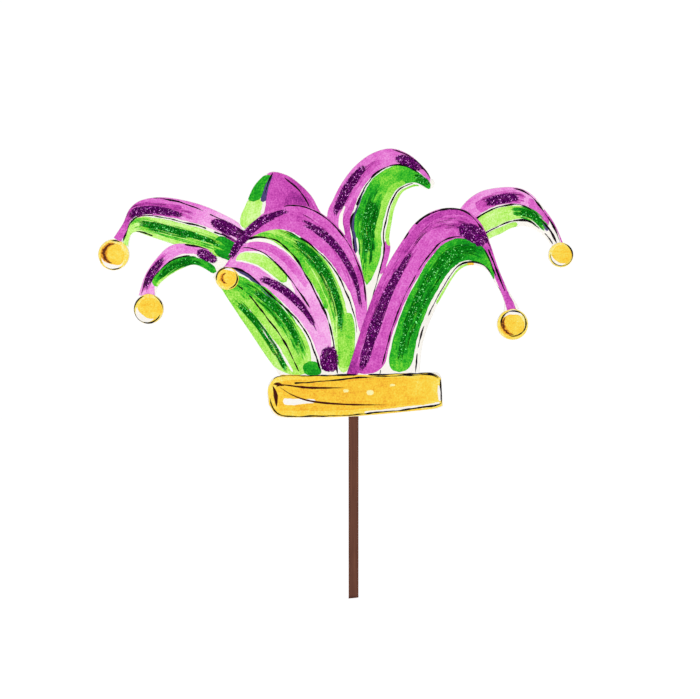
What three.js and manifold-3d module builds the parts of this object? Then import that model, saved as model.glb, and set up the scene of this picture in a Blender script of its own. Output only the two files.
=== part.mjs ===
// A carnival jester hat cut from flat board and carried on a square stick, for planting in a pot or holding up.
// Strokes of glitter stand a little proud of the picture side.
// Millimetres, +Z up. The picture side faces -Y, and the origin is the middle of the stake's lower end.
import * as THREE from "three";
import { mergeVertices } from "three/addons/utils/BufferGeometryUtils.js";
import Module from "manifold-3d";

const wasm = await Module();
wasm.setup();

// Driving dimensions
const BOARD_THICKNESS = 3;
const STAKE_WIDTH = 6.8;
const STAKE_TOP = 182;
const STAKE_END_SLANT = 0.8;
const STAKE_EDGE_CHAMFER = 0.3;
const GLUE_LINE = 0.2;
const GLITTER_THICKNESS = 0.4;
const GLITTER_GAP = 0.05;

// Places along Y that follow from them
const BOARD_BACK = -(STAKE_WIDTH / 2 + GLUE_LINE);
const BOARD_FRONT = BOARD_BACK - BOARD_THICKNESS;
const GLITTER_BACK = BOARD_FRONT - GLITTER_GAP;

// How finely curves are cut into straight steps
const STEPS_PER_SECTION = 5;
const BELL_SIDES = 40;
const GLITTER_STEPS = 18;
const CORNER_STEPS = 6;

// Each horn runs from its root in the crown to its tip, between an outer and an inner edge.
// Columns of sections: outer edge x, outer edge z, inner edge x, inner edge z.
// bell, or tip where a horn has no bell: x and z of the round end's centre, and its radius.
const HORNS = {
  back_left: {
    sections: [
      [-70, 242.5, -12.5, 248],
      [-77, 255, -22.5, 262],
      [-73, 267, -28, 272],
      [-68, 278.5, -35.5, 280],
      [-62, 285.5, -43.5, 286],
      [-57, 288.6, -51.5, 288.9],
    ],
    tip: [-54.3, 286, 3.3],
  },
  back_middle: {
    sections: [
      [-2.5, 188.5, 9.5, 188.5],
      [-14.5, 236, 24, 231],
      [-18, 259, 24.3, 244],
      [-14, 270, 26, 255],
      [-8, 281.5, 28, 264.5],
      [1, 293, 32.5, 274],
      [12.5, 301.5, 37.5, 277.5],
      [25.5, 304.8, 43, 279],
      [38, 300.5, 47, 278],
      [48.5, 291, 50.4, 276.8],
      [52.4, 284.6, 52, 277.6],
    ],
    tip: [51.4, 281, 3.4],
  },
  back_right: {
    sections: [
      [66.5, 253.5, 84, 238.5],
      [74, 266.5, 93, 244],
      [85, 275.2, 100, 247],
      [99, 278.4, 106.5, 250.5],
      [112, 278, 113.5, 252],
      [121.5, 273, 120, 251.2],
      [129.5, 263.5, 125.5, 248],
      [136.4, 253.4, 130.6, 244],
      [142.4, 239.6, 134.4, 238.4],
    ],
    bell: [140.4, 232.6, 8.5],
  },
  far_left: {
    sections: [
      [-70, 249.5, -78, 226.5],
      [-83.7, 258, -89, 230.5],
      [-100.5, 265.7, -106.5, 236],
      [-116, 270, -123, 240.2],
      [-131, 271.8, -138, 245],
      [-144.5, 269.5, -146.6, 248],
      [-152, 263.4, -150.4, 246.4],
      [-156.2, 254, -152, 242],
      [-162.6, 244.2, -152.4, 238],
    ],
    bell: [-162.4, 232.7, 10.6],
  },
  low_left: {
    sections: [
      [-80, 229, -86, 213],
      [-98.5, 236.6, -100, 222.7],
      [-108, 239.3, -108, 225.8],
      [-117.5, 240.3, -115.5, 223.6],
      [-125.7, 238, -122.3, 220],
      [-133.8, 230, -128.4, 215.6],
      [-141.2, 219, -132.4, 211.2],
      [-145.6, 205.2, -134.8, 204.2],
    ],
    bell: [-138.7, 196, 10.2],
  },
  front_left: {
    sections: [
      [6.5, 151, -49, 150],
      [9, 202, -60, 165],
      [1.5, 233, -69.8, 179.8],
      [-14.5, 255.5, -77, 190.2],
      [-35.5, 266.5, -82.3, 198.4],
      [-58, 262.5, -87, 205.5],
      [-73.5, 247.5, -91, 212],
      [-84.5, 226.5, -95, 217.7],
    ],
    bell: [-85.6, 216.6, 8],
  },
  front_right: {
    sections: [
      [-5, 151, 44.3, 151],
      [3.7, 177.7, 47, 173.7],
      [12.5, 203.4, 53.8, 192.6],
      [22, 224.4, 62, 208.2],
      [31.4, 240, 69, 219.4],
      [42.2, 255, 74.7, 224.3],
      [56.5, 263.4, 80.2, 225.6],
      [72, 264, 85.6, 225],
      [84.2, 256.6, 90.7, 222],
      [91.7, 242.7, 95.4, 214.6],
      [98.4, 223, 99.8, 206.8],
      [104.5, 209.5, 102.2, 200],
      [112.5, 196, 101.8, 194.6],
    ],
    bell: [107.7, 185.6, 10.6],
  },
};

// The turned-up band under the horns, as its corners in order. Columns: x, z, corner radius.
const BAND_CORNERS = [
  [-54.5, 122.6, 6],
  [-9, 121.8, 34],
  [60.5, 128.8, 2.5],
  [59.3, 153.4, 5],
  [-56.1, 150.7, 6.8],
  [-59.4, 137, 7],
];

// Strokes of glitter, each along one horn.
// Columns: horn, colour, start and end as shares of the horn's length, place at the start and at the end as shares
// of its width, width of the stroke at the start and at the end.
const GLITTER_STROKES = [
  ["far_left", "purple", 0.06, 0.21, 0.27, 0.27, 8, 8],
  ["far_left", "purple", 0.34, 0.77, 0.33, 0.34, 4.5, 6],
  ["far_left", "green", 0.14, 0.62, 0.72, 0.74, 5, 6.5],
  ["low_left", "purple", 0.08, 0.26, 0.36, 0.34, 7, 6],
  ["low_left", "purple", 0.62, 0.95, 0.26, 0.32, 4.5, 4],
  ["low_left", "green", 0.16, 0.8, 0.78, 0.76, 4.4, 4.4],
  ["back_middle", "purple", 0.21, 0.54, 0.12, 0.14, 6, 6.5],
  ["back_middle", "purple", 0.67, 0.86, 0.28, 0.3, 6, 6.5],
  ["back_middle", "green", 0.1, 0.39, 0.64, 0.62, 10, 11],
  ["back_middle", "green", 0.72, 0.95, 0.74, 0.72, 5.5, 5],
  ["back_right", "purple", 0.24, 0.5, 0.28, 0.27, 6.5, 6],
  ["back_right", "green", 0.48, 0.78, 0.65, 0.64, 6.5, 5],
  ["front_left", "purple", 0.6, 0.95, 0.07, 0.2, 4.5, 7],
  ["front_left", "purple", 0.13, 0.53, 0.06, 0.14, 3, 6],
  ["front_left", "purple", 0.13, 0.52, 0.5, 0.69, 4, 6.5],
  ["front_left", "purple", 0.015, 0.085, 0.4, 0.4, 12, 12],
  ["front_left", "green", 0.1, 0.5, 0.27, 0.3, 6, 8],
  ["front_left", "green", 0.1, 0.5, 0.69, 0.8, 6.5, 8],
  ["front_left", "green", 0.03, 0.54, 0.89, 0.945, 5, 4],
  ["front_right", "purple", 0.01, 0.33, 0.18, 0.23, 9, 4],
  ["front_right", "purple", 0.53, 0.7, 0.38, 0.42, 11, 11],
  ["front_right", "green", 0.03, 0.6, 0.71, 0.75, 9, 11],
];

const COLOURS = {
  board: new THREE.MeshStandardMaterial({ color: 0xf0ebe4, roughness: 0.6 }),
  stake: new THREE.MeshStandardMaterial({ color: 0x6e4838, roughness: 0.7 }),
  purple: new THREE.MeshStandardMaterial({ color: 0x5a1266, roughness: 0.35, metalness: 0.3 }),
  green: new THREE.MeshStandardMaterial({ color: 0x0b6b26, roughness: 0.35, metalness: 0.3 }),
};

// A flat outline in X and Z, given thickness from the plane y = back towards the picture side.
function plate(outline, back, thickness) {
  const geometry = new THREE.ExtrudeGeometry(outline, {
    depth: thickness,
    bevelEnabled: false,
    curveSegments: CORNER_STEPS,
  });
  return geometry.rotateX(Math.PI / 2).translate(0, back, 0);
}

// A closed three.js geometry as a manifold-3d solid.
function solidOf(geometry) {
  geometry.deleteAttribute("normal");
  geometry.deleteAttribute("uv");
  const merged = mergeVertices(geometry, 1e-4);
  return new wasm.Manifold(
    new wasm.Mesh({
      numProp: 3,
      vertProperties: merged.attributes.position.array,
      triVerts: new Uint32Array(merged.index.array),
    }),
  );
}

// A manifold-3d solid as a three.js geometry again.
function geometryOf(solid) {
  const mesh = solid.getMesh();
  const geometry = new THREE.BufferGeometry();
  geometry.setAttribute("position", new THREE.BufferAttribute(mesh.vertProperties, mesh.numProp));
  geometry.setIndex(new THREE.BufferAttribute(mesh.triVerts, 1));
  geometry.computeVertexNormals();
  return geometry;
}

// A horn's outer and inner edges as smooth curves through its sections.
function edgesOf(horn) {
  const outer = new THREE.SplineCurve(horn.sections.map(([x, z]) => new THREE.Vector2(x, z)));
  const inner = new THREE.SplineCurve(horn.sections.map(([, , x, z]) => new THREE.Vector2(x, z)));
  return { outer, inner };
}

function disc(x, z, radius) {
  const outline = new THREE.Shape();
  outline.absarc(x, z, radius, 0, 2 * Math.PI, false);
  return new THREE.Shape(outline.getSpacedPoints(BELL_SIDES).slice(0, BELL_SIDES));
}

// The flat outlines of one horn: its tapering body, and the bell or round tip at its end.
function hornOutlines(horn) {
  const { outer, inner } = edgesOf(horn);
  const steps = STEPS_PER_SECTION * (horn.sections.length - 1);
  const body = new THREE.Shape([...outer.getPoints(steps), ...inner.getPoints(steps).reverse()]);
  return [body, disc(...(horn.bell ?? horn.tip))];
}

// The band: straight sides between corners that are rounded by quadratic curves.
function bandOutline() {
  const outline = new THREE.Shape();
  BAND_CORNERS.forEach(([x, z, radius], index) => {
    const corner = new THREE.Vector2(x, z);
    const neighbour = (step) => {
      const [nx, nz] = BAND_CORNERS.at((index + step) % BAND_CORNERS.length);
      return new THREE.Vector2(nx, nz);
    };
    const towards = (other) => corner.clone().add(other.sub(corner).setLength(radius));
    const start = towards(neighbour(-1));
    const end = towards(neighbour(1));
    if (index === 0) outline.moveTo(start.x, start.y);
    else outline.lineTo(start.x, start.y);
    outline.quadraticCurveTo(corner.x, corner.y, end.x, end.y);
  });
  return outline;
}

// The whole hat is cut from one piece of board, so its outlines are joined into one solid.
function hatBoard() {
  const outlines = [bandOutline(), ...Object.values(HORNS).flatMap(hornOutlines)];
  const solids = outlines.map((outline) => solidOf(plate(outline, BOARD_BACK, BOARD_THICKNESS)));
  return geometryOf(solids.reduce((joined, solid) => joined.add(solid)));
}

// A stroke of glitter along a horn, from its width at the start to its width at the end, and round at both ends.
function glitterStroke([horn, , from, to, acrossFrom, acrossTo, widthFrom, widthTo]) {
  const { outer, inner } = edgesOf(HORNS[horn]);
  const across = (share) => THREE.MathUtils.mapLinear(share, from, to, acrossFrom, acrossTo);
  const width = (share) => THREE.MathUtils.mapLinear(share, from, to, widthFrom, widthTo);
  const centre = (share) => outer.getPoint(share).lerp(inner.getPoint(share), across(share));
  const near = 1e-3;
  const left = [];
  const right = [];
  for (let step = 0; step <= GLITTER_STEPS; step++) {
    const angle = (Math.PI * step) / GLITTER_STEPS;
    const share = from + ((to - from) * (1 - Math.cos(angle))) / 2;
    const along = centre(share + near).sub(centre(share - near)).normalize();
    const halfWidth = (width(share) / 2) * Math.max(Math.sqrt(Math.sin(angle)), 0.2);
    const sideways = new THREE.Vector2(-along.y, along.x).multiplyScalar(halfWidth);
    left.push(centre(share).add(sideways));
    right.push(centre(share).sub(sideways));
  }
  return plate(new THREE.Shape([...left, ...right.reverse()]), GLITTER_BACK, GLITTER_THICKNESS);
}

// A square stick with broken edges, sawn a little off square at its lower end.
function stakeStick() {
  const half = STAKE_WIDTH / 2;
  const flat = half - STAKE_EDGE_CHAMFER;
  const section = new THREE.Shape([
    new THREE.Vector2(-flat, -half),
    new THREE.Vector2(flat, -half),
    new THREE.Vector2(half, -flat),
    new THREE.Vector2(half, flat),
    new THREE.Vector2(flat, half),
    new THREE.Vector2(-flat, half),
    new THREE.Vector2(-half, flat),
    new THREE.Vector2(-half, -flat),
  ]);
  const geometry = new THREE.ExtrudeGeometry(section, { depth: STAKE_TOP, bevelEnabled: false });
  const position = geometry.getAttribute("position");
  for (let i = 0; i < position.count; i++) {
    const slant = (position.getX(i) / STAKE_WIDTH) * STAKE_END_SLANT;
    if (position.getZ(i) === 0) position.setZ(i, slant);
  }
  return geometry;
}

function named(name, geometry, material) {
  const mesh = new THREE.Mesh(geometry, material);
  mesh.name = name;
  return mesh;
}

const sign = new THREE.Group();
sign.add(named("hat_board", hatBoard(), COLOURS.board));
sign.add(named("stake", stakeStick(), COLOURS.stake));
const strokeCount = {};
for (const stroke of GLITTER_STROKES) {
  const [horn, colour] = stroke;
  const family = `${horn}_${colour}_glitter`;
  strokeCount[family] = (strokeCount[family] ?? 0) + 1;
  sign.add(named(`${family}_${strokeCount[family]}`, glitterStroke(stroke), COLOURS[colour]));
}

export default sign;
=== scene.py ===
"""Looks of the jester hat stake sign.

A cut-out board is painted in washes and ink, carries raised strokes of glitter, and stands on a stake.
Lengths in the tables are in millimetres. The scene itself is in metres, in the frame of the CAD model.
"""

import math

import bmesh
import bpy
import numpy as np
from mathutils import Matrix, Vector, noise
from mathutils.bvhtree import BVHTree


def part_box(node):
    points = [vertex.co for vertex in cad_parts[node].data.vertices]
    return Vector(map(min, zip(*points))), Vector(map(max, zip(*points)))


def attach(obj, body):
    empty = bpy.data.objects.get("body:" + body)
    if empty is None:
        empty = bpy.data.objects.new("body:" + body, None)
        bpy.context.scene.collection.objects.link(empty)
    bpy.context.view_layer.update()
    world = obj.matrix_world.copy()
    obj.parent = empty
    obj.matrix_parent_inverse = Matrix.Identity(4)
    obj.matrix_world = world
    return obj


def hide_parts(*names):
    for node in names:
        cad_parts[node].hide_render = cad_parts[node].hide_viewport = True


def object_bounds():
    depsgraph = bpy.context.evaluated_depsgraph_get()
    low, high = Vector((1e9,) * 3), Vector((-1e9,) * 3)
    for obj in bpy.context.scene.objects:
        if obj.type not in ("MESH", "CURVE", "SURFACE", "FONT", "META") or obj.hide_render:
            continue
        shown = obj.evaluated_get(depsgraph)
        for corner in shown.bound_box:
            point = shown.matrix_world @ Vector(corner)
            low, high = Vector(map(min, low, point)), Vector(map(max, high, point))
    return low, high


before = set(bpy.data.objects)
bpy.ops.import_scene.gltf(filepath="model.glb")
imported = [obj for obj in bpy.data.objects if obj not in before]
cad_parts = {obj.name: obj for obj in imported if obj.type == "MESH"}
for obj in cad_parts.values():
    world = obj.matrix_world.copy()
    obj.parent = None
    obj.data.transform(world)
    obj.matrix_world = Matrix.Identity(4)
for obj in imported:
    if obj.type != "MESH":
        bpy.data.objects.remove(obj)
cad_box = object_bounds()

MM = 0.001
BOARD_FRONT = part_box("hat_board")[0].y / MM
STAKE_HALF_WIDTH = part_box("stake")[1].x

# The board: how far its edges are eased, in how many steps, and how near two points of its cut are joined.
EDGE_EASE = 0.22
EASE_STEPS = 3
EDGE_MERGE = 0.02
SAME_PLANE = math.radians(1)
SHARP_CORNER = math.radians(50)

# Coats of paint: how far each lies in front of the last, and how near two points of a coat are joined.
COAT_STEP = 0.0032
PAINT_MERGE = 0.002

# An unsteadiness of the hand is a pair: its amount, and the length over which it comes and goes.

# Washes: points that measure their length, spacing and least number of their rows, places of their points
# across, rounding of their ends as a share of their width, margin at their ends, and how far the streaks of
# one wash lie from those of the next.
WASH_SAMPLES = 60
WASH_STEP = 0.8
FEWEST_ROWS = 8
WASH_COLUMNS = np.array([0, 0.03, 0.08, 0.16, 0.3, 0.5, 0.7, 0.84, 0.92, 0.97, 1.0])
END_ROUNDING = 0.4
END_MARGIN = 0.2
STREAK_SHIFT = 40
EDGE_TREMOR = (0.3, 2.2)
EDGE_DRIFT = (0.55, 9)

# Round dabs: points around them, and their rings of points as shares of the radius.
DAB_POINTS = 48
DAB_RINGS = np.array([0.35, 0.65, 0.85, 0.94, 1.0])
DAB_WOBBLE = (0.06, 5)

# Pen lines and brush marks: spacing of their points, weight of the pen, length of its tapered ends and how
# thin it gets there and elsewhere, flow of a wet pen, how fast it fails and where it stops, depth of the ink.
LINE_SAMPLES = 120
PEN_STEP = 0.5
PEN_WEIGHT = 1.17
PEN_TAPER = 4
PEN_POINT = 0.04
PEN_THINNEST = 0.35
PEN_FLOW = 0.6
PEN_FAILING = 0.12
DRY_PEN = 0.02
PEN_DEPTH = 0.72
PEN_GAPS = (1, 10)
PEN_SWELL = (1, 7)
PEN_SHAKE = (0.3, 2)
PEN_WANDER = (0.45, 8)
PEN_SHADE = (0.25, 5)
BRUSH_SWELL = (0.25, 3)
RIBBON_COLUMNS = np.array([-1.0, 0.0, 1.0])

# Tracks of a stiff brush: points of the stroke and of a track, their pitch and half width as a share of it,
# how ragged their ends are, the most of that and the latest start as shares of the stroke, length, tip and
# bluntness of their taper, how unevenly they are loaded, where a dry one breaks, and load of a dry brush.
TRACK_SAMPLES = 80
TRACK_STEPS = 60
TRACK_STEP = 0.9
FEWEST_TRACKS = 4
TRACK_PITCH = 0.85
TRACK_HALF = 0.66
TRACK_RAGGED = 3
MOST_RAGGED = 0.06
LATEST_START = 0.42
TRACK_TAPER = 4
TRACK_TIP = 0.1
TRACK_BLUNTNESS = 0.7
LOAD_SPREAD = 1.4
DRY_TRACK = 0.15
DRY_LOAD = -0.1
TRACK_PATCHES = (0.7, 11)
TRACK_SWELL = (0.3, 5)
TRACK_WANDER = (0.3, 9)
TRACK_SHADE = (0.25, 6)

# Bells: radius and depth of the pale wash and of the deeper dab on it, how far the dab lies off the middle,
# and the turn from one bell to the next of the side that it lies on. Lengths are shares of the bell's radius.
BELL_PALE = (0.98, 0.2)
BELL_DAB = (0.78, 0.4)
BELL_ASIDE = 0.1
BELL_TURN = 2.4
BELL_DRYNESS = 0.05
MARK_SAMPLES = 60

# Depth of colour of brush marks, in the middle and at the edges.
BAND_BRUSH = (0.8, 0.4)
BELL_BRUSH = (1.15, 0.6)

# Glitter: heights of the coat at the edge and on the ridge of a track, depth of its colour, the flakes and
# how much larger the brightest are, and how full the brush is of each colour.
COAT_HEIGHTS = (0.40, 0.47)
COAT_DEPTH = 0.5
FLAKE_SIDES = 6
FLAKE_RADIUS = 0.38
FLAKE_SIZES = (0.55, 1.1)
BRIGHT_GAIN = 0.4
FLAKES_PER_MM2 = 2.6
FLAKE_TILT = math.radians(24)
GLITTER_LOAD = {"purple": 0.6, "green": -0.1}

# Sizes of the patterns in the finishes.
BLOOM_SIZE = 13
POOL_SIZE = 4
GRAIN_SIZE = 1.1
STREAK_SIZE = 1.5
DRIED_RIM = 0.8
INK_PATCH = 2.5
INK_SHEEN = 1.2
MOTTLE_SIZE = 16
TOOTH_SIZE = 0.7
RING_SIZE = 1.2
PORE_SIZE = 0.35
STAIN_SIZE = 22
END_SOAK = 2.4
DUST_SIZE = 0.5
CLOUD_SIZE = 4
FLOOR_MOTTLE = 400

# How far streaks, rings and pores are drawn out, and where painted shade starts to gather on the way to an
# edge of the stake.
ALONG_STREAK = (0.05, 1, 1)
ALONG_RING = (1, 1, 0.035)
ALONG_PORE = (1, 1, 0.05)
EDGE_SHADE = 0.78

# Studio, in metres and watts, with the lens and its sensor in millimetres: width and middle of the view,
# lens, place, size and power of the lights and the place that they point at, floor, light from all around,
# and how much more of it the camera sees.
VIEW_WIDTH = 0.4739
VIEW_MIDDLE = (-0.0024, 0.1686)
LENS = 120
SENSOR = 36
KEY_LIGHT = ((-0.75, -1.2, 0.95), 0.5, 5.3)
FILL_LIGHT = ((0.95, -1.1, 0.5), 0.7, 2.5)
LIT_PLACE = (0, 0, 0.2)
FLOOR_RADIUS = 4
FLOOR_SIDES = 64
FLOOR_GLOW = 0.7
SURROUNDINGS = 0.44
BACKDROP = 0.58

# Horns as the board is cut. Columns: outer edge x and z, inner edge x and z, from the root to the tip.
HORNS = {
    "back_left": [
        (-70, 242.5, -12.5, 248),
        (-77, 255, -22.5, 262),
        (-73, 267, -28, 272),
        (-68, 278.5, -35.5, 280),
        (-62, 285.5, -43.5, 286),
        (-57, 288.6, -51.5, 288.9),
    ],
    "back_middle": [
        (-2.5, 188.5, 9.5, 188.5),
        (-14.5, 236, 24, 231),
        (-18, 259, 24.3, 244),
        (-14, 270, 26, 255),
        (-8, 281.5, 28, 264.5),
        (1, 293, 32.5, 274),
        (12.5, 301.5, 37.5, 277.5),
        (25.5, 304.8, 43, 279),
        (38, 300.5, 47, 278),
        (48.5, 291, 50.4, 276.8),
        (52.4, 284.6, 52, 277.6),
    ],
    "back_right": [
        (66.5, 253.5, 84, 238.5),
        (74, 266.5, 93, 244),
        (85, 275.2, 100, 247),
        (99, 278.4, 106.5, 250.5),
        (112, 278, 113.5, 252),
        (121.5, 273, 120, 251.2),
        (129.5, 263.5, 125.5, 248),
        (136.4, 253.4, 130.6, 244),
        (142.4, 239.6, 134.4, 238.4),
    ],
    "far_left": [
        (-70, 249.5, -78, 226.5),
        (-83.7, 258, -89, 230.5),
        (-100.5, 265.7, -106.5, 236),
        (-116, 270, -123, 240.2),
        (-131, 271.8, -138, 245),
        (-144.5, 269.5, -146.6, 248),
        (-152, 263.4, -150.4, 246.4),
        (-156.2, 254, -152, 242),
        (-162.6, 244.2, -152.4, 238),
    ],
    "low_left": [
        (-80, 229, -86, 213),
        (-98.5, 236.6, -100, 222.7),
        (-108, 239.3, -108, 225.8),
        (-117.5, 240.3, -115.5, 223.6),
        (-125.7, 238, -122.3, 220),
        (-133.8, 230, -128.4, 215.6),
        (-141.2, 219, -132.4, 211.2),
        (-145.6, 205.2, -134.8, 204.2),
    ],
    "front_left": [
        (6.5, 151, -49, 150),
        (9, 202, -60, 165),
        (1.5, 233, -69.8, 179.8),
        (-14.5, 255.5, -77, 190.2),
        (-35.5, 266.5, -82.3, 198.4),
        (-58, 262.5, -87, 205.5),
        (-73.5, 247.5, -91, 212),
        (-84.5, 226.5, -95, 217.7),
    ],
    "front_right": [
        (-5, 151, 44.3, 151),
        (3.7, 177.7, 47, 173.7),
        (12.5, 203.4, 53.8, 192.6),
        (22, 224.4, 62, 208.2),
        (31.4, 240, 69, 219.4),
        (42.2, 255, 74.7, 224.3),
        (56.5, 263.4, 80.2, 225.6),
        (72, 264, 85.6, 225),
        (84.2, 256.6, 90.7, 222),
        (91.7, 242.7, 95.4, 214.6),
        (98.4, 223, 99.8, 206.8),
        (104.5, 209.5, 102.2, 200),
        (112.5, 196, 101.8, 194.6),
    ],
    # The band is painted the same way: its outer edge is the top, and it runs from left to right.
    "band": [
        (-58.2, 142.6, -57.2, 131.2),
        (-50.4, 151, -49.4, 123.4),
        (-28, 151.5, -28, 122.8),
        (-4, 152, -4, 123.2),
        (18, 152.5, 18, 124.7),
        (40, 152.9, 40, 126.8),
        (52.6, 153.1, 53, 128.2),
        (59.1, 149.4, 60.1, 130.6),
    ],
}

# Bells. Columns: middle x and z, radius.
BELLS = {
    "far_left": (-162.4, 232.7, 10.6),
    "low_left": (-138.7, 196, 10.2),
    "front_left": (-85.6, 216.6, 8),
    "front_right": (107.7, 185.6, 10.6),
    "back_right": (140.4, 232.6, 8.5),
}

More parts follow.
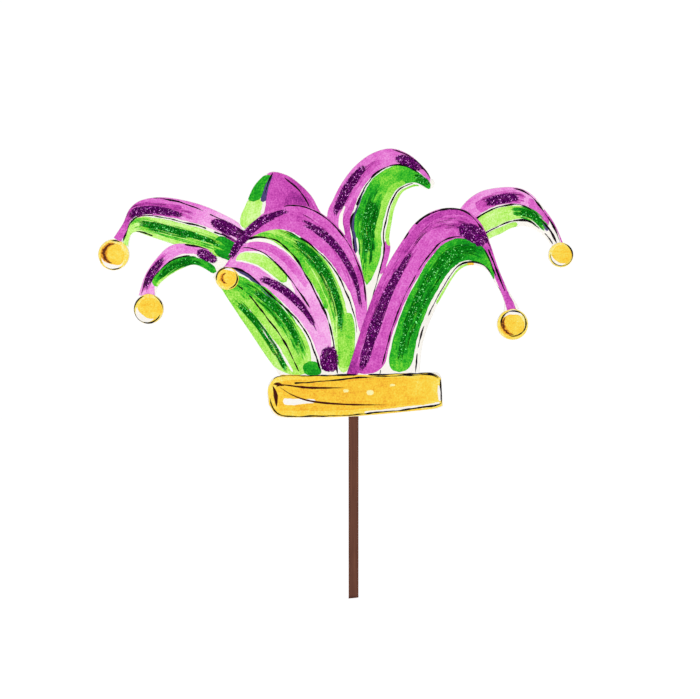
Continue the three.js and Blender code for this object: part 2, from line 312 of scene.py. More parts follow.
# Washes and pen lines of each horn, from the back of the picture to the front, in the order they are laid.
# A wash: paint, start and end along the horn, place of its outer edge and of its inner edge across the horn
# at its start, middle and end, and its depth of colour at the same three places.
# A line: ink, width, dryness of the pen, and the points that it passes, along and across the horn.
PAINTING = [
    (
        "back_left",
        [
            ("purple", 0.0, 1.0, (0.26, 0.28, 0.0), (1.0, 1.0, 1.0), (0.5, 0.56, 0.5)),
            ("purple", 0.08, 0.5, (0.5, 0.56, 0.62), (0.93, 0.95, 0.9), (0.72, 0.72, 0.64)),
            ("green", 0.1, 0.47, (0.0, 0.0, 0.0), (0.24, 0.26, 0.24), (0.08, 0.12, 0.2)),
            ("green", 0.42, 0.86, (0.0, 0.0, 0.0), (0.22, 0.26, 0.34), (0.68, 0.66, 0.64)),
            ("indigo", 0.4, 0.82, (0.21, 0.24, 0.3), (0.3, 0.33, 0.38), (0.6, 0.5, 0.3)),
        ],
        [
            ("black", 0.9, 0.2, [(0.5, 0.27), (0.75, 0.31), (0.95, 0.4)]),
            ("black", 0.9, 0.3, [(0.26, 0.9), (0.6, 0.85), (0.9, 0.7)]),
        ],
    ),
    (
        "back_middle",
        [
            ("purple", 0.06, 0.98, (0.0, 0.0, 0.0), (0.35, 0.37, 0.5), (0.34, 0.36, 0.32)),
            ("purple", 0.1, 0.36, (0.26, 0.27, 0.3), (0.36, 0.365, 0.36), (0.58, 0.56, 0.5)),
            ("white", 0.14, 0.29, (0.17, 0.19, 0.2), (0.27, 0.25, 0.22), (0.0, 0.0, 0.0)),
            ("purple", 0.07, 0.17, (0.9, 0.9, 0.92), (1.0, 1.0, 1.0), (0.4, 0.5, 0.4)),
            ("green", 0.055, 1.0, (0.5, 0.42, 0.55), (0.86, 0.86, 1.0), (0.4, 0.5, 0.62)),
            ("green", 0.14, 0.5, (0.42, 0.42, 0.44), (0.6, 0.6, 0.58), (0.6, 0.62, 0.58)),
            ("green", 0.12, 0.62, (0.75, 0.74, 0.77), (0.86, 0.87, 0.88), (0.36, 0.32, 0.28)),
            ("green", 0.14, 0.74, (0.93, 0.94, 0.95), (1.0, 1.0, 1.0), (0.2, 0.2, 0.36)),
            ("indigo", 0.1, 0.42, (0.39, 0.385, 0.385), (0.45, 0.425, 0.41), (0.5, 0.6, 0.5)),
        ],
        [
            ("black", 1.0, 0.0, [(0.07, 0.39), (0.26, 0.385), (0.5, 0.385)]),
            ("black", 0.9, 0.15, [(0.48, 0.385), (0.66, 0.41), (0.82, 0.52)]),
            ("black", 0.7, 0.1, [(0.04, 0.9), (0.3, 0.905), (0.68, 0.92)]),
            ("black", 0.9, 0.2, [(0.7, 0.045), (0.86, 0.08), (0.98, 0.14)]),
        ],
    ),
    (
        "back_right",
        [
            ("purple", 0.0, 0.68, (0.0, 0.0, 0.0), (0.41, 0.41, 0.42), (0.24, 0.22, 0.04)),
            ("purple", 0.18, 0.48, (0.14, 0.18, 0.2), (0.42, 0.4, 0.38), (0.46, 0.5, 0.44)),
            ("purple", 0.58, 0.83, (0.12, 0.12, 0.16), (0.42, 0.46, 0.5), (0.34, 0.5, 0.6)),
            ("purple", 0.74, 0.98, (0.0, 0.0, 0.0), (0.16, 0.12, 0.14), (0.4, 0.5, 0.5)),
            ("green", 0.0, 0.74, (0.49, 0.47, 0.5), (0.81, 0.81, 0.76), (0.12, 0.14, 0.2)),
            ("green", 0.0, 0.46, (0.86, 0.86, 0.88), (1.0, 1.0, 1.0), (0.14, 0.16, 0.2)),
            ("indigo", 0.7, 0.85, (0.44, 0.46, 0.5), (0.7, 0.7, 0.7), (0.4, 0.6, 0.3)),
        ],
        [
            ("black", 0.9, 0.1, [(0.0, 0.46), (0.45, 0.44), (0.97, 0.52)]),
            ("black", 0.9, 0.25, [(0.0, 0.83), (0.5, 0.84), (0.97, 0.86)]),
            ("black", 0.8, 0.2, [(0.46, 0.04), (0.7, 0.1), (0.97, 0.22)]),
        ],
    ),
    (
        "far_left",
        [
            ("purple", 0.05, 1.0, (0.0, 0.0, 0.0), (0.44, 0.45, 0.52), (-0.08, 0.4, 0.52)),
            ("purple", 0.36, 0.88, (0.12, 0.2, 0.26), (0.42, 0.42, 0.46), (0.52, 0.58, 0.6)),
            ("green", 0.1, 1.0, (0.53, 0.52, 0.62), (1.0, 1.0, 1.0), (0.28, 0.14, 0.2)),
            ("green", 0.0, 0.18, (0.5, 0.5, 0.5), (1.0, 1.0, 1.0), (0.78, 0.8, 0.7)),
        ],
        [
            ("black", 0.9, 0.0, [(0.1, 0.17), (0.3, 0.1), (0.54, 0.02)]),
            ("black", 0.8, 0.2, [(0.1, 0.47), (0.5, 0.485), (0.97, 0.57)]),
            ("black", 0.7, 0.2, [(0.46, 0.95), (0.64, 0.97)]),
        ],
    ),
    (
        "low_left",
        [
            ("purple", 0.12, 1.0, (0.0, 0.0, 0.0), (0.5, 0.5, 1.0), (0.2, 0.22, 0.16)),
            ("green", 0.08, 0.88, (0.6, 0.56, 0.52), (1.0, 1.0, 1.0), (0.66, 0.64, 0.58)),
            ("green", 0.4, 0.86, (0.86, 0.86, 0.84), (1.0, 1.0, 1.0), (0.3, 0.2, 0.3)),
        ],
        [
            ("black", 0.9, 0.1, [(0.14, 0.06), (0.34, 0.03), (0.52, 0.02)]),
            ("black", 0.7, 0.3, [(0.2, 0.54), (0.55, 0.54), (0.9, 0.5)]),
            ("black", 0.6, 0.2, [(0.74, 0.1), (0.88, 0.12), (1.0, 0.16)]),
        ],
    ),
    (
        "front_left",
        [
            ("white", 0.0, 1.0, (0.0, 0.0, 0.0), (1.0, 1.0, 1.0), (0.0, 0.0, 0.0)),
            ("green", 0.012, 0.76, (0.17, 0.235, 0.26), (0.3, 0.4, 0.3), (0.16, 0.22, 0.34)),
            ("green", 0.18, 0.7, (0.35, 0.345, 0.27), (0.385, 0.395, 0.3), (0.44, 0.5, 0.46)),
            ("green", 0.025, 0.14, (0.17, 0.115, 0.17), (0.3, 0.305, 0.3), (0.34, 0.4, 0.36)),
            ("purple", 0.03, 0.92, (0.36, 0.405, 0.3), (0.49, 0.715, 0.64), (0.1, 0.2, 0.32)),
            ("purple", 0.3, 0.74, (0.43, 0.41, 0.36), (0.47, 0.47, 0.44), (0.3, 0.42, 0.36)),
            ("purple", 0.085, 0.54, (0.0, 0.0, 0.0), (0.09, 0.2, 0.25), (0.32, 0.4, 0.46)),
            ("purple", 0.46, 1.0, (0.0, 0.0, 0.0), (0.232, 0.29, 0.42), (0.46, 0.48, 0.52)),
            ("purple", 0.185, 0.255, (0.0, 0.0, 0.0), (0.09, 0.1, 0.06), (0.56, 0.6, 0.54)),
            ("white", 0.3, 0.8, (0.545, 0.5, 0.47), (0.59, 0.62, 0.585), (0.0, 0.0, 0.0)),
            ("green", 0.38, 0.8, (0.53, 0.51, 0.48), (0.59, 0.605, 0.57), (0.42, 0.12, 0.08)),
            ("green", 0.01, 0.97, (0.54, 0.745, 0.7), (1.0, 1.0, 1.0), (0.2, 0.32, 0.5)),
            ("green", 0.46, 0.95, (0.745, 0.755, 0.74), (0.88, 0.89, 0.92), (0.44, 0.5, 0.5)),
            ("white", 0.03, 0.42, (0.83, 0.88, 0.9), (0.85, 0.91, 0.905), (0.0, 0.0, 0.0)),
            ("green", 0.004, 0.06, (0.5, 0.51, 0.54), (0.7, 0.71, 0.7), (0.66, 0.7, 0.62)),
            ("indigo", 0.34, 0.74, (0.7, 0.712, 0.69), (0.725, 0.745, 0.715), (0.3, 0.6, 0.4)),
        ],
        [
            ("black", 0.8, 0.05, [(0.14, 0.012), (0.35, 0.012), (0.64, 0.014)]),
            ("black", 0.8, 0.05, [(0.09, 0.1), (0.18, 0.17), (0.28, 0.2), (0.4, 0.234), (0.56, 0.255)]),
            ("black", 0.9, 0.1, [(0.01, 0.31), (0.24, 0.41), (0.46, 0.385), (0.78, 0.3)]),
            ("black", 0.8, 0.15, [(0.22, 0.5), (0.38, 0.525), (0.6, 0.49), (0.78, 0.4)]),
            ("black", 0.9, 0.15, [(0.02, 0.51), (0.22, 0.64), (0.46, 0.722), (0.86, 0.67)]),
            ("black", 0.8, 0.2, [(0.03, 0.77), (0.3, 0.83), (0.64, 0.84)]),
        ],
    ),
    (
        "front_right",
        [
            ("white", 0.0, 1.0, (0.0, 0.0, 0.0), (1.0, 1.0, 1.0), (0.0, 0.0, 0.0)),
            ("purple", 0.005, 0.78, (0.0, 0.0, 0.0), (0.5, 0.53, 0.56), (0.52, 0.42, 0.5)),
            ("purple", 0.66, 1.0, (0.0, 0.0, 0.25), (0.55, 0.95, 0.8), (0.54, 0.54, 0.56)),
            ("purple", 0.0, 0.2, (0.0, 0.0, 0.02), (0.15, 0.13, 0.1), (0.7, 0.62, 0.54)),
            ("purple", 0.3, 0.64, (0.05, 0.05, 0.03), (0.15, 0.14, 0.1), (0.56, 0.6, 0.54)),
            ("green", 0.012, 0.76, (0.54, 0.525, 0.56), (0.9, 0.9, 1.0), (0.62, 0.62, 0.66)),
            ("green", 0.05, 0.56, (0.6, 0.62, 0.66), (0.85, 0.87, 0.92), (0.68, 0.68, 0.7)),
            ("green", 0.2, 0.48, (0.965, 0.965, 0.965), (1.0, 1.0, 1.0), (0.2, 0.16, 0.2)),
            ("gold", 0.46, 0.53, (0.955, 0.955, 0.96), (1.0, 1.0, 1.0), (0.5, 0.5, 0.5)),
        ],
        [
            ("black", 0.7, 0.15, [(0.0, 0.46), (0.3, 0.475), (0.62, 0.5)]),
            ("black", 0.8, 0.2, [(0.6, 0.5), (0.68, 0.56), (0.78, 0.72)]),
            ("black", 0.7, 0.3, [(0.01, 0.945), (0.4, 0.94), (0.84, 0.97)]),
            ("black", 0.8, 0.15, [(0.34, 0.022), (0.46, 0.024), (0.56, 0.026)]),
            ("black", 0.8, 0.2, [(0.5, 0.025), (0.62, 0.04), (0.76, 0.2)]),
            ("black", 0.9, 0.1, [(0.7, 0.36), (0.78, 0.4), (0.9, 0.36)]),
        ],
    ),
    (
        "band",
        [
            ("gold", 0.0, 1.0, (0.0, 0.02, 0.02), (1.0, 1.0, 1.0), (0.28, 0.38, 0.26)),
            ("gold", 0.1, 0.9, (0.16, 0.12, 0.18), (0.84, 0.84, 0.78), (0.42, 0.58, 0.3)),
            ("white", 0.16, 0.3, (0.56, 0.56, 0.58), (0.7, 0.7, 0.66), (0.0, 0.0, 0.0)),
            ("white", 0.5, 0.95, (0.9, 0.86, 0.84), (0.95, 0.94, 0.92), (0.0, 0.0, 0.0)),
            ("white", 0.925, 0.985, (0.28, 0.3, 0.36), (0.74, 0.8, 0.78), (0.0, 0.0, 0.0)),
            ("gold", 0.41, 0.435, (0.34, 0.34, 0.34), (0.42, 0.42, 0.42), (0.1, 0.0, 0.1)),
            ("gold", 0.51, 0.545, (0.4, 0.4, 0.42), (0.5, 0.52, 0.5), (0.0, -0.1, 0.0)),
            ("gold", 0.61, 0.635, (0.27, 0.27, 0.27), (0.34, 0.34, 0.34), (0.1, 0.0, 0.1)),
        ],
        [
            ("black", 0.7, 0.15, [(0.1, 0.02), (0.5, 0.03), (0.97, 0.03)]),
            ("black", 0.7, 0.2, [(0.12, 0.26), (0.5, 0.09), (0.95, 0.06)]),
            ("black", 0.9, 0.05, [(0.985, 0.05), (0.99, 0.45), (0.98, 0.9)]),
            ("black", 0.8, 0.1, [(0.5, 0.955), (0.75, 0.93), (0.98, 0.9)]),
            ("black", 0.7, 0.2, [(0.03, 0.6), (0.1, 0.95), (0.5, 0.96)]),
            ("brown", 2.8, 0.0, [(0.085, 0.16), (0.11, 0.45), (0.115, 0.8)]),
            ("brown", 2.2, 0.0, [(0.09, 0.14), (0.13, 0.2), (0.17, 0.26)]),
            ("brown", 1.6, 0.0, [(0.12, 0.2), (0.26, 0.3), (0.42, 0.32)]),
            ("brown", 1.4, 0.0, [(0.13, 0.24), (0.28, 0.62), (0.6, 0.78)]),
        ],
    ),
]

# Marks on the bells. Columns: bell, paint, width, radius and the shift of its middle to the right and up, all
# as shares of the bell's radius, start and end in degrees anticlockwise from the right.
BELL_MARKS = [
    ("far_left", "white", 0.3, 0.8, 0.04, 0.02, 185, 315),
    ("far_left", "gold", 0.42, 0.62, 0.0, 0.08, 75, 265),
    ("far_left", "black", 0.06, 0.93, 0.0, 0.0, 195, 300),
    ("far_left", "black", 0.09, 0.84, 0.0, 0.06, 62, 100),
    ("low_left", "white", 0.4, 0.76, -0.02, 0.02, 170, 300),
    ("low_left", "black", 0.06, 0.9, -0.06, -0.02, 105, 335),
    ("low_left", "black", 0.06, 0.88, 0.02, 0.02, -5, 70),
    ("front_left", "gold", 0.4, 0.44, 0.0, 0.04, 95, 275),
    ("front_left", "white", 0.18, 0.82, 0.0, 0.0, 40, 110),
    ("front_left", "black", 0.07, 0.92, 0.0, 0.0, 70, 190),
    ("front_left", "black", 0.07, 0.86, 0.0, 0.0, -80, 40),
    ("front_right", "white", 0.3, 0.78, 0.04, 0.0, 40, 150),
    ("front_right", "gold", 0.34, 0.66, 0.04, 0.02, 135, 275),
    ("front_right", "black", 0.07, 0.8, 0.06, 0.06, -110, 205),
    ("back_right", "white", 0.26, 0.76, 0.02, 0.02, 180, 300),
    ("back_right", "black", 0.08, 0.86, 0.04, 0.02, 175, 440),
]

# Streaks of a nearly dry brush in deeper colour. Columns: horn, paint, start and end along the horn, places
# across it at the start and at the end, width, depth of colour.
DRY_STROKES = [
    ("back_middle", "purple", 0.3, 0.62, 0.2, 0.22, 6, 0.5),
    ("back_middle", "green", 0.07, 0.46, 0.6, 0.6, 15, 0.72),
    ("back_right", "purple", 0.2, 0.56, 0.25, 0.25, 9, 0.5),
    ("back_right", "green", 0.4, 0.84, 0.63, 0.63, 8, 0.66),
    ("far_left", "purple", 0.0, 0.17, 0.3, 0.3, 11, 0.9),
    ("far_left", "purple", 0.28, 0.84, 0.3, 0.32, 9, 0.62),
    ("far_left", "green", 0.1, 0.74, 0.73, 0.74, 10, 0.58),
    ("low_left", "purple", 0.56, 0.98, 0.24, 0.34, 6, 0.5),
    ("low_left", "green", 0.12, 0.84, 0.77, 0.76, 6, 0.8),
    ("front_left", "purple", 0.2, 0.62, 0.12, 0.1, 6, 0.52),
    ("front_left", "green", 0.08, 0.62, 0.28, 0.3, 10, 0.5),
    ("front_left", "green", 0.06, 0.62, 0.68, 0.81, 11, 0.56),
    ("front_left", "green", 0.02, 0.62, 0.89, 0.95, 5, 0.66),
    ("front_right", "purple", 0.0, 0.46, 0.14, 0.2, 9, 0.6),
    ("front_right", "purple", 0.42, 0.72, 0.2, 0.34, 9, 0.52),
    ("front_right", "green", 0.05, 0.66, 0.72, 0.74, 12, 0.68),
]

# Raised glitter strokes. Columns: horn, colour, start and end along the horn, places across it at the start
# and at the end, widths at the start and at the end.
GLITTER_STROKES = [
    ("far_left", "purple", 0.06, 0.21, 0.27, 0.27, 8, 8),
    ("far_left", "purple", 0.34, 0.77, 0.33, 0.34, 4.5, 6),
    ("far_left", "green", 0.14, 0.62, 0.72, 0.74, 5, 6.5),
    ("low_left", "purple", 0.08, 0.26, 0.36, 0.34, 7, 6),
    ("low_left", "purple", 0.62, 0.95, 0.26, 0.32, 4.5, 4),
    ("low_left", "green", 0.16, 0.8, 0.78, 0.76, 4.4, 4.4),
    ("back_middle", "purple", 0.21, 0.54, 0.12, 0.14, 6, 6.5),
    ("back_middle", "purple", 0.67, 0.86, 0.28, 0.3, 6, 6.5),
    ("back_middle", "green", 0.1, 0.39, 0.64, 0.62, 10, 11),
    ("back_middle", "green", 0.72, 0.95, 0.74, 0.72, 5.5, 5),
    ("back_right", "purple", 0.24, 0.5, 0.28, 0.27, 6.5, 6),
    ("back_right", "green", 0.48, 0.78, 0.65, 0.64, 6.5, 5),
    ("front_left", "purple", 0.6, 0.95, 0.07, 0.2, 4.5, 7),
    ("front_left", "purple", 0.13, 0.53, 0.06, 0.14, 3, 6),
    ("front_left", "purple", 0.13, 0.52, 0.5, 0.69, 4, 6.5),
    ("front_left", "purple", 0.015, 0.085, 0.4, 0.4, 12, 12),
    ("front_left", "green", 0.1, 0.5, 0.27, 0.3, 6, 8),
    ("front_left", "green", 0.1, 0.5, 0.69, 0.8, 6.5, 8),
    ("front_left", "green", 0.03, 0.54, 0.89, 0.945, 5, 4),
    ("front_right", "purple", 0.01, 0.33, 0.18, 0.23, 9, 4),
    ("front_right", "purple", 0.53, 0.7, 0.38, 0.42, 11, 11),
    ("front_right", "green", 0.03, 0.6, 0.71, 0.75, 9, 11),
]

# Colours of each paint from its thinnest to its deepest, as red, green and blue out of 255.
PAINT_COLOURS = {
    "purple": [
        (0.0, (242, 184, 232)),
        (0.2, (232, 144, 217)),
        (0.4, (217, 104, 198)),
        (0.55, (200, 78, 179)),
        (0.7, (172, 54, 156)),
        (0.85, (120, 30, 118)),
        (1.0, (70, 6, 74)),
    ],
    "green": [
        (0.0, (212, 246, 160)),
        (0.2, (180, 236, 104)),
        (0.38, (136, 216, 62)),
        (0.52, (76, 194, 44)),
        (0.68, (24, 160, 32)),
        (0.84, (8, 124, 24)),
        (1.0, (2, 84, 18)),
    ],
    "gold": [
        (0.0, (244, 236, 170)),
        (0.2, (243, 220, 98)),
        (0.42, (243, 204, 64)),
        (0.6, (242, 187, 52)),
        (0.8, (224, 146, 42)),
        (1.0, (96, 44, 20)),
    ],
    "indigo": [(0.0, (140, 130, 180)), (0.5, (78, 68, 120)), (1.0, (36, 32, 74))],
    "black": [(0.0, (58, 26, 52)), (0.5, (20, 6, 18)), (1.0, (6, 2, 6))],
    "brown": [(0.0, (140, 74, 30)), (0.5, (76, 24, 12)), (1.0, (44, 8, 6))],
}
COAT_SHADES = {
    "purple": [(0.0, (40, 0, 46)), (0.5, (62, 0, 68)), (0.75, (104, 16, 106)), (1.0, (180, 86, 176))],
    "green": [(0.0, (0, 52, 2)), (0.5, (0, 98, 10)), (0.75, (22, 154, 30)), (1.0, (118, 222, 104))],
}
FLAKE_SHADES = {
    "purple": [(0.0, (46, 0, 54)), (0.6, (92, 0, 96)), (0.84, (176, 36, 176)), (1.0, (255, 168, 252))],
    "green": [(0.0, (0, 70, 2)), (0.6, (0, 128, 6)), (0.84, (22, 198, 34)), (1.0, (150, 255, 156))],
}
BOARD_SHADES = [(0.0, (232, 226, 216)), (0.5, (242, 238, 231)), (1.0, (250, 248, 244))]
STAKE_SHADES = [(0.0, (72, 39, 28)), (0.35, (92, 53, 40)), (0.65, (104, 63, 48)), (1.0, (126, 80, 61))]
FLOOR_SHADES = [(0.0, (252, 252, 252)), (1.0, (255, 255, 255))]

# How strongly the grains of each paint show.
PAINT_GRAIN = {"purple": 0.75, "green": 0.75, "gold": 0.85, "indigo": 0.75}

# The piece that each paint is gathered in, and its slot in the record.
PAINTS = {
    "purple": ("purple_washes", "purple_paint"),
    "green": ("green_washes", "green_paint"),
    "gold": ("gold_washes", "gold_paint"),
    "indigo": ("indigo_bleeds", "ink"),
    "black": ("black_ink_lines", "ink"),
    "brown": ("brown_ink_strokes", "ink"),
    "white": ("white_gaps", "board_white"),
}


# Node expressions


class Value:
    """A node's output in a node tree, with the operators that the sums on it need."""

    def __init__(self, tree, socket=None):
        self.tree = tree
        self.socket = socket

    def node(self, kind, settings=None, inputs=None, output=0):
        """Adds a node: its settings first, then the values or links of its inputs, by name or number."""
        made = self.tree.nodes.new(kind)
        for name, setting in (settings or {}).items():
            if name == "stops":
                set_stops(made.color_ramp, setting)
            else:
                setattr(made, name, setting)
        for key, value in (inputs or {}).items():
            if isinstance(value, Value):
                self.tree.links.new(value.socket, made.inputs[key])
            else:
                made.inputs[key].default_value = value
        return Value(self.tree, made.outputs[output])

    def feed(self, socket):
        """Links this output to an input."""
        self.tree.links.new(self.socket, socket)

    def sums(self, operation, first, second):
        return self.node("ShaderNodeMath", {"operation": operation}, {0: first, 1: second})

    def __add__(self, other):
        return self.sums("ADD", self, other)

    def __radd__(self, other):
        return self.sums("ADD", other, self)

    def __sub__(self, other):
        return self.sums("SUBTRACT", self, other)

    def __rsub__(self, other):
        return self.sums("SUBTRACT", other, self)

    def __mul__(self, other):
        return self.sums("MULTIPLY", self, other)

    def __rmul__(self, other):
        return self.sums("MULTIPLY", other, self)

    def __truediv__(self, other):
        return self.sums("DIVIDE", self, other)

    def __pow__(self, other):
        return self.sums("POWER", self, other)

    def __abs__(self):
        return self.sums("ABSOLUTE", self, 0.0)

    def at_least(self, other):
        return self.sums("MAXIMUM", self, other)

    def at_most(self, other):
        return self.sums("MINIMUM", self, other)


def set_stops(ramp, stops):
    """Puts colours, as red, green and blue out of 255, at their places on a colour ramp."""
    while len(ramp.elements) < len(stops):
        ramp.elements.new(0.5)
    for element, (place, colour) in zip(ramp.elements, stops):
        element.position = place
        element.color = linear(colour)


def linear(colour):
    """Blender's linear colour for red, green and blue out of 255."""
    shares = [part / 255 for part in colour]
    parts = [s / 12.92 if s <= 0.04045 else ((s + 0.055) / 1.055) ** 2.4 for s in shares]
    return (*parts, 1.0)


def new_finish(name, constants):
    """A material with the constant sockets of its shader set, the shader, and a start for further nodes."""
    material = bpy.data.materials.new(name)
    material.use_nodes = True
    shader = material.node_tree.nodes["Principled BSDF"]
    for socket, value in constants.items():
        shader.inputs[socket].default_value = value
    return material, shader, Value(material.node_tree)


def speckle(place, size, detail=2.0, roughness=0.5):
    """Smooth noise around 0 with features of about the given size in millimetres."""
    settings = {"noise_dimensions": "3D"}
    inputs = {"Vector": place, "Scale": 1 / (size * MM), "Detail": detail, "Roughness": roughness}
    return place.node("ShaderNodeTexNoise", settings, inputs) - 0.5


def stretch(place, factors):
    """Coordinates stretched by a factor along each axis."""
    return place.node("ShaderNodeVectorMath", {"operation": "MULTIPLY"}, {0: place, 1: factors})


def ramp(value, stops):
    return value.node("ShaderNodeValToRGB", {"stops": stops}, {"Fac": value})


def bump(height, strength, distance):
    inputs = {"Height": height, "Strength": strength, "Distance": distance * MM}
    return height.node("ShaderNodeBump", {}, inputs)


def point_value(start, name):
    """A value that the mesh holds at each of its points."""
    return start.node("ShaderNodeAttribute", {"attribute_name": name}, output="Fac")


def dress(shader, colour, roughness, relief=None):
    """Feeds a shader with its colour, its roughness and the relief of its surface."""
    colour.feed(shader.inputs["Base Color"])
    roughness.feed(shader.inputs["Roughness"])
    if relief:
        relief.feed(shader.inputs["Normal"])


# Finishes


def wash_finish(paint):
    """Thin paint: blooms, streaks along the brush, settled grains and a darker rim where it dried."""
    material, shader, start = new_finish(paint + "_wash", {"Specular IOR Level": 0.05})
    place = start.node("ShaderNodeTexCoord", output="Object")
    stroke = start.node("ShaderNodeUVMap", {"uv_map": "stroke"})
    depth = point_value(start, "depth")
    margin = point_value(start, "margin")
    bloom = speckle(place, BLOOM_SIZE, 3.0)
    pool = speckle(place, POOL_SIZE, 2.0)
    grains = speckle(place, GRAIN_SIZE, 2.0, 0.65)
    streaks = speckle(stretch(stroke, ALONG_STREAK), STREAK_SIZE, 3.0, 0.6)
    rim = (1 - margin / DRIED_RIM).at_least(0.0) ** 2.0
    tone = depth + bloom * 0.45 + pool * 0.26 + streaks * 0.3 + grains * PAINT_GRAIN[paint] + rim * 0.12
    dress(shader, ramp(tone, PAINT_COLOURS[paint]), 0.62 + grains * 0.3, bump(grains, 0.12, 0.05))
    return material


def ink_finish(ink):
    """Pen or brush ink that thins out here and there."""
    material, shader, start = new_finish(ink + "_ink", {"Specular IOR Level": 0.05})
    place = start.node("ShaderNodeTexCoord", output="Object")
    tone = point_value(start, "depth") + speckle(place, INK_PATCH, 3.0) * 0.5
    dress(shader, ramp(tone, PAINT_COLOURS[ink]), 0.5 + speckle(place, INK_SHEEN) * 0.4)
    return material


def board_finish():
    """Off-white painted board with a faint mottle and the tooth of a rolled coat."""
    material, shader, start = new_finish("board_white", {"Specular IOR Level": 0.25})
    place = start.node("ShaderNodeTexCoord", output="Object")
    mottle = speckle(place, MOTTLE_SIZE, 4.0)
    tooth = speckle(place, TOOTH_SIZE, 3.0, 0.6)
    tone = 0.5 + mottle * 0.7 + tooth * 0.35
    dress(shader, ramp(tone, BOARD_SHADES), 0.6 + tooth * 0.3, bump(tooth, 0.2, 0.04))
    return material


def stake_finish():
    """Brown stained softwood: grain and pores along the stick, painted shade gathered at its edges, and stain
    at its sawn end.
    """
    material, shader, start = new_finish("stake_brown", {"Specular IOR Level": 0.15})
    place = start.node("ShaderNodeTexCoord", output="Object")
    x, y, z = (
        start.node("ShaderNodeSeparateXYZ", inputs={"Vector": place}, output=axis) for axis in range(3)
    )
    rings = speckle(stretch(place, ALONG_RING), RING_SIZE, 4.0, 0.6)
    pores = speckle(stretch(place, ALONG_PORE), PORE_SIZE, 2.0)
    patches = speckle(place, STAIN_SIZE, 3.0)
    to_edge = abs(x).at_most(abs(y)) / STAKE_HALF_WIDTH
    # Painted shade: the stick is darker towards the edges of each face.
    gathered = ((to_edge - EDGE_SHADE) / (1 - EDGE_SHADE)).at_least(0.0)
    soaked = (1 - z / (END_SOAK * MM)).at_least(0.0)
    tone = 0.5 + rings * 1.2 + pores * 0.35 + patches * 0.5 - gathered * 0.3 - soaked * 0.5
    relief = bump(rings * 0.6 + pores * 0.4, 0.35, 0.12)
    dress(shader, ramp(tone, STAKE_SHADES), 0.62 + rings * 0.3, relief)
    return material


def glitter_coat_finish(colour):
    """Tinted binder full of fine dust, with the brush's ridges in it."""
    material, shader, start = new_finish(colour + "_glitter_coat", {"Specular IOR Level": 0.03})
    place = start.node("ShaderNodeTexCoord", output="Object")
    dust = speckle(place, DUST_SIZE, 2.0, 0.7)
    clouds = speckle(place, CLOUD_SIZE, 2.0)
    tone = point_value(start, "depth") + dust * 0.8 + clouds * 0.3
    dress(shader, ramp(tone, COAT_SHADES[colour]), 0.45 + dust * 0.4, bump(dust, 0.5, 0.1))
    return material


def flake_finish(colour):
    """Foil flakes: each has its own shade."""
    material, shader, start = new_finish(colour + "_flakes", {"Metallic": 0.8, "Specular IOR Level": 0.03})
    shade = point_value(start, "shade")
    dress(shader, ramp(shade, FLAKE_SHADES[colour]), 0.55 - shade * 0.15)
    return material


def floor_finish():
    """White studio floor with a trace of mottle."""
    constants = {
        "Specular IOR Level": 0.1,
        "Roughness": 0.8,
        "Emission Color": (1, 1, 1, 1),
        "Emission Strength": FLOOR_GLOW,
    }
    material, shader, start = new_finish("studio_floor", constants)
    place = start.node("ShaderNodeTexCoord", output="Object")
    ramp(0.5 + speckle(place, FLOOR_MOTTLE), FLOOR_SHADES).feed(shader.inputs["Base Color"])
    return material


# Strokes of paint


def smooth_curve(points, share):
    """Places on the curve through points that the board is cut to, for shares from 0 to 1."""
    points = np.asarray(points, float)
    last = len(points) - 1
    place = np.clip(share, 0.0, 1.0) * last
    index = np.minimum(np.floor(place).astype(int), last - 1)
    step = (place - index)[..., None]
    here = points[index]
    ahead = points[index + 1]
    leaving = (ahead - points[np.maximum(index - 1, 0)]) / 2
    arriving = (points[np.minimum(index + 2, last)] - here) / 2
    cubic = (2 * here - 2 * ahead + leaving + arriving) * step**3
    square = (3 * ahead - 3 * here - 2 * leaving - arriving) * step**2
    return cubic + square + leaving * step + here


def on_horn(horn, along, across):
    """x and z at a share along a horn from its root and a share across it from its outer edge."""
    rails = smooth_curve(HORNS[horn], along)
    across = np.asarray(across, float)[..., None]
    return rails[..., :2] * (1 - across) + rails[..., 2:] * across


def through(values, share):
    """The smooth run through a value at the start, the middle and the end."""
    start, middle, end = values
    from_start = start * (2 * share - 1) * (share - 1)
    return from_start + 4 * middle * share * (1 - share) + end * share * (2 * share - 1)


def tremor(distance, unsteadiness, seed):
    """Smooth noise around 0 along a stroke, of an amount that comes and goes over a length."""
    amount, length = unsteadiness
    return amount * np.array([noise.noise((d / length, seed * 1.37, 0.5)) for d in distance])


def lengths(path):
    """Distance along a path at each of its points."""
    steps = np.hypot(*np.diff(path, axis=0).T)
    return np.concatenate([[0.0], np.cumsum(steps)])


def resample(path, step):
    """The path's points again, evenly spaced by about a step."""
    distance = lengths(path)
    count = max(4, int(distance[-1] / step) + 1)
    even = np.linspace(0, distance[-1], count)
    return np.stack([np.interp(even, distance, path[:, axis]) for axis in (0, 1)], axis=1), even


def sideways(path):
    """Unit directions to the left of a path."""
    tangent = np.gradient(path, axis=0)
    tangent /= np.maximum(np.hypot(*tangent.T), 1e-6)[:, None]
    return np.stack([-tangent[:, 1], tangent[:, 0]], axis=1)


def unbroken(drawn):
    """The stretches of a stroke that are drawn without a break, apart from the shortest."""
    ends = np.flatnonzero(np.diff(np.concatenate([[0], drawn.astype(int), [0]])))
    return [slice(begin, stop) for begin, stop in zip(ends[::2], ends[1::2]) if stop - begin >= 4]


